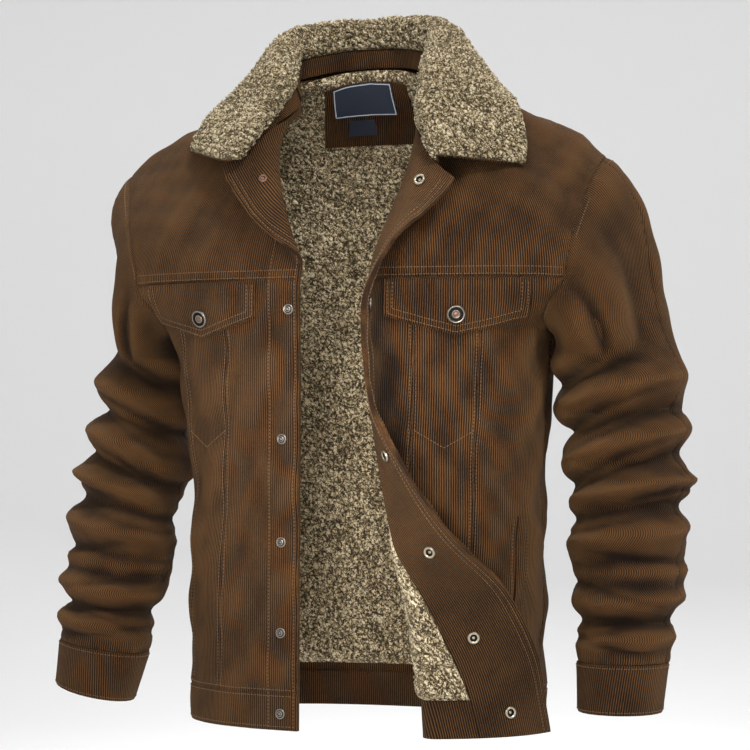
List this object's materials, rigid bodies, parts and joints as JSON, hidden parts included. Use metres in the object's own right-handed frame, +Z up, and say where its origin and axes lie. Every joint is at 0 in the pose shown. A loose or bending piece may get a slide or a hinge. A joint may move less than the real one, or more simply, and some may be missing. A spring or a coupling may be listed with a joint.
{
  "type": "sherpa lined corduroy jacket",
  "caption": "Waist-length corduroy jacket with a sherpa collar and lining, worn shape with open front, flap pockets and press studs.",
  "frame": {"origin": "middle of the neck at the height where the shoulder seams meet the collar", "axes": "+Z up, -Y the front of the jacket, +X the wearer's left"},
  "size_m": [0.6776, 0.2992, 0.7519],
  "materials": {
    "corduroy": "fine-wale cotton corduroy, matt",
    "collar_sherpa": "curly sherpa pile, matt",
    "lining_sherpa": "short curly sherpa pile, matt",
    "woven_label": "damask woven label, bare",
    "snap_metal": "antique silver, pressed and tumbled"
  },
  "bodies": {
    "root": {"front_yoke_r": "corduroy", "centre_front_r": "corduroy", "middle_front_r": "corduroy", "side_front_r": "corduroy", "hem_band_r": "corduroy", "facing_r": "corduroy", "lining_front_r": "lining_sherpa", "front_yoke_l": "corduroy", "centre_front_l": "corduroy", "middle_front_l": "corduroy", "side_front_l": "corduroy", "hem_band_l": "corduroy", "facing_l": "corduroy", "lining_front_l": "lining_sherpa", "back_yoke": "corduroy", "back_panel": "corduroy", "hem_band_back": "corduroy", "lining_back": "lining_sherpa", "neck_patch": "corduroy", "label": "woven_label", "size_tab": "woven_label", "pocket_flap_r": "corduroy", "pocket_flap_l": "corduroy", "pocket_welt_r": "corduroy", "pocket_welt_l": "corduroy", "sleeve_front_r": "corduroy", "sleeve_back_r": "corduroy", "cuff_r": "corduroy", "sleeve_front_l": "corduroy", "sleeve_back_l": "corduroy", "cuff_l": "corduroy", "collar_top": "collar_sherpa", "collar_under": "corduroy", "neck_stand": "corduroy", "snap_stud_1": "snap_metal", "snap_post_1": "snap_metal", "snap_stud_2": "snap_metal", "snap_post_2": "snap_metal", "snap_stud_3": "snap_metal", "snap_post_3": "snap_metal", "snap_stud_4": "snap_metal", "snap_post_4": "snap_metal", "snap_stud_5": "snap_metal", "snap_post_5": "snap_metal", "snap_stud_6": "snap_metal", "snap_post_6": "snap_metal", "flap_snap_r": "snap_metal", "snap_cap_1": "snap_metal", "snap_socket_1": "snap_metal", "snap_cap_2": "snap_metal", "snap_socket_2": "snap_metal", "snap_cap_3": "snap_metal", "snap_socket_3": "snap_metal", "snap_cap_4": "snap_metal", "snap_socket_4": "snap_metal", "snap_cap_5": "snap_metal", "snap_socket_5": "snap_metal", "snap_cap_6": "snap_metal", "snap_socket_6": "snap_metal", "flap_snap_l": "snap_metal"}
  },
  "joints": []
}
